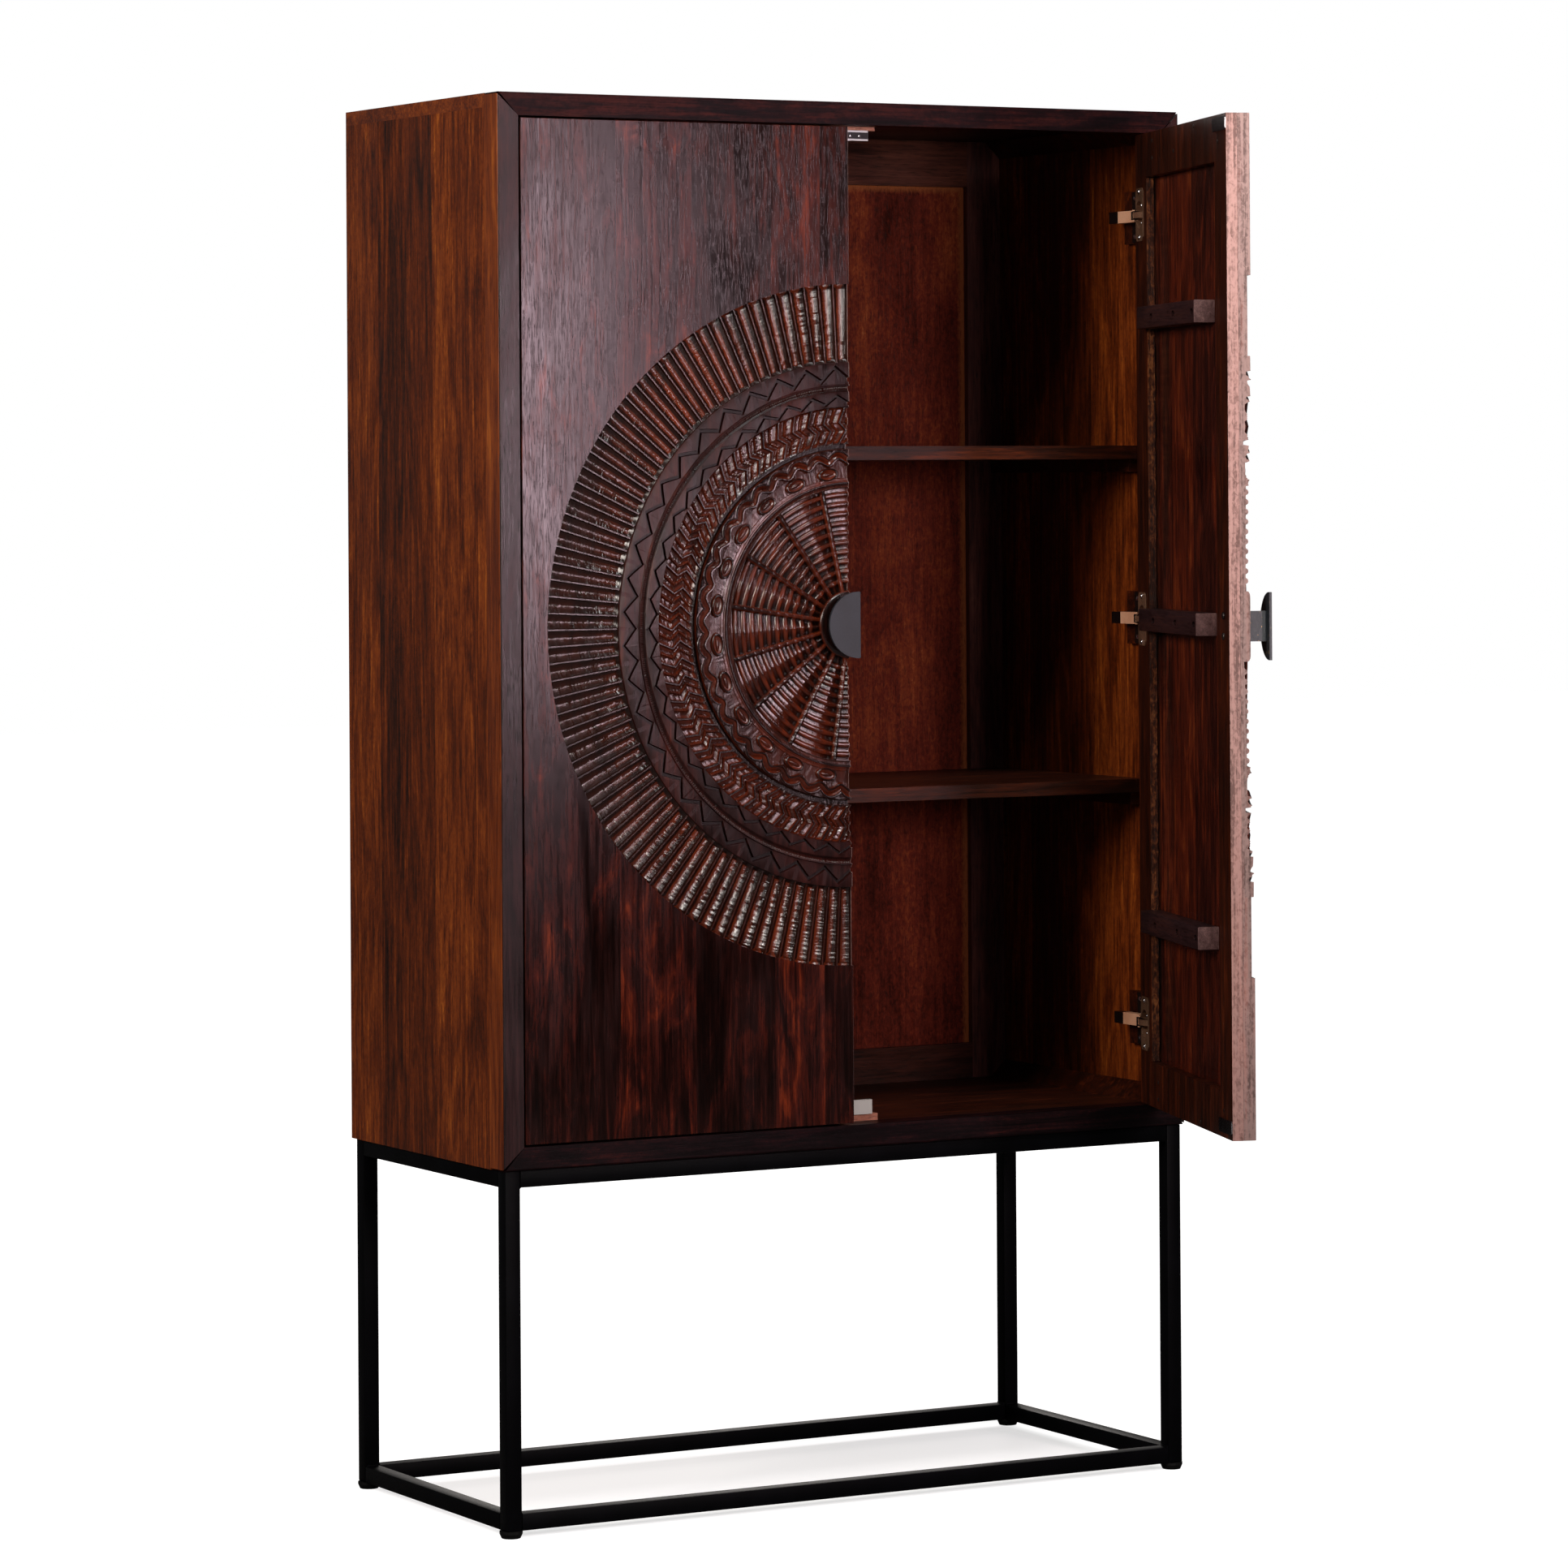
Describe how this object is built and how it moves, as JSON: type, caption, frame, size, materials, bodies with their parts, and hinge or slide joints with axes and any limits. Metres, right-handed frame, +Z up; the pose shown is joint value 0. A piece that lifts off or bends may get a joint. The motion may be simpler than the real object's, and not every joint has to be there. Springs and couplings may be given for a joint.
{
  "type": "cabinet",
  "caption": "Tall free-standing cabinet of dark wood on a black steel stand; two hinged doors share a round carving, with shelves inside and half-round handles.",
  "frame": {"origin": "on the floor, on the middle line of the front face", "axes": "+X to the right seen from the front, +Y to the back, +Z up"},
  "size_m": [0.9, 0.8005, 1.608],
  "materials": {
    "carved_wood": "dark stained hardwood, satin lacquer over carving",
    "front_wood": "dark stained hardwood, satin lacquer",
    "side_wood": "warm brown stained hardwood, satin lacquer",
    "inner_wood": "stained hardwood, thin lacquer",
    "back_wood": "reddish brown stained hardwood",
    "door_frame_wood": "bare pinkish brown hardwood, thin stain",
    "stand_paint": "black powder coat on welded steel tube",
    "handle_finish": "dark blackened cast metal, matt",
    "foot_plastic": "moulded black plastic",
    "case_plastic": "tan moulded catch case",
    "grey_plastic": "light grey translucent plastic",
    "bar_chrome": "bright plated steel",
    "strike_chrome": "plated steel, thin",
    "hinge_steel": "nickel plated pressed steel"
  },
  "bodies": {
    "cabinet": {"back_panel": "back_wood", "back_rail_bottom": "back_wood", "back_rail_top": "back_wood", "back_stile_left": "back_wood", "back_stile_right": "back_wood", "bottom_panel": "inner_wood", "corner_strips": "inner_wood", "face_rail_bottom": "front_wood", "face_rail_top": "front_wood", "face_stile_left": "front_wood", "face_stile_right": "front_wood", "hinge_arms": "hinge_steel", "hinge_mounting_plates": "hinge_steel", "hinge_packers": "inner_wood", "lower_catch_block": "inner_wood", "lower_catches": "grey_plastic", "lower_shelf": "inner_wood", "magnetic_catch_bars": "bar_chrome", "magnetic_catch_cases": "case_plastic", "shelf_cleats": "inner_wood", "side_panel_left": "side_wood", "side_panel_right": "side_wood", "stand_leg_front_left": "stand_paint", "stand_leg_front_right": "stand_paint", "stand_leg_rear_left": "stand_paint", "stand_leg_rear_right": "stand_paint", "stand_lower_rail_front": "stand_paint", "stand_lower_rail_left": "stand_paint", "stand_lower_rail_rear": "stand_paint", "stand_lower_rail_right": "stand_paint", "stand_upper_rail_front": "stand_paint", "stand_upper_rail_left": "stand_paint", "stand_upper_rail_rear": "stand_paint", "stand_upper_rail_right": "stand_paint", "top_panel": "side_wood", "upper_catch_block": "inner_wood", "upper_shelf": "inner_wood"},
    "right_door": {"right_door_battens": "door_frame_wood", "right_door_board": "carved_wood", "right_door_free_stile": "door_frame_wood", "right_door_handle": "handle_finish", "right_door_hinge_cups": "hinge_steel", "right_door_hinge_stile": "door_frame_wood", "right_door_rails": "door_frame_wood", "right_door_strike_plates": "strike_chrome"},
    "left_door": {"left_door_battens": "door_frame_wood", "left_door_board": "carved_wood", "left_door_free_stile": "door_frame_wood", "left_door_handle": "handle_finish", "left_door_hinge_cups": "hinge_steel", "left_door_hinge_stile": "door_frame_wood", "left_door_rails": "door_frame_wood", "left_door_strike_plates": "strike_chrome"},
    "right_links": {"right_hinge_links": "hinge_steel"},
    "left_links": {"left_hinge_links": "hinge_steel"},
    "foot_front_left": {"levelling_foot_front_left": "foot_plastic"},
    "foot_front_right": {"levelling_foot_front_right": "foot_plastic"},
    "foot_rear_left": {"levelling_foot_rear_left": "foot_plastic"},
    "foot_rear_right": {"levelling_foot_rear_right": "foot_plastic"}
  },
  "joints": [
    {"name": "right_door_hinge", "type": "hinge", "parent": "cabinet", "child": "right_door", "pos_m": [0.4192, 0.0034, 1.008], "axis": [0, 0, 1], "range_deg": [-71.3, 23.7]},
    {"name": "left_door_hinge", "type": "hinge", "parent": "cabinet", "child": "left_door", "pos_m": [-0.4192, 0.0034, 1.008], "axis": [0, 0, -1], "range_deg": [0, 95]},
    {"name": "right_link_turn", "type": "hinge", "parent": "cabinet", "child": "right_links", "pos_m": [0.4192, 0.0034, 1.008], "axis": [0, 0, 1], "range_deg": [-35.65, 11.85]},
    {"name": "left_link_turn", "type": "hinge", "parent": "cabinet", "child": "left_links", "pos_m": [-0.4192, 0.0034, 1.008], "axis": [0, 0, -1], "range_deg": [0, 47.5]},
    {"name": "foot_front_left_screw", "type": "slide", "parent": "cabinet", "child": "foot_front_left", "axis": [0, 0, -1], "range_m": [0, 0.008]},
    {"name": "foot_front_right_screw", "type": "slide", "parent": "cabinet", "child": "foot_front_right", "axis": [0, 0, -1], "range_m": [0, 0.008]},
    {"name": "foot_rear_left_screw", "type": "slide", "parent": "cabinet", "child": "foot_rear_left", "axis": [0, 0, -1], "range_m": [0, 0.008]},
    {"name": "foot_rear_right_screw", "type": "slide", "parent": "cabinet", "child": "foot_rear_right", "axis": [0, 0, -1], "range_m": [0, 0.008]}
  ],
  "couplings": [
    {"joint": "right_link_turn", "follows": "right_door_hinge", "ratio": 0.5},
    {"joint": "left_link_turn", "follows": "left_door_hinge", "ratio": 0.5}
  ]
}
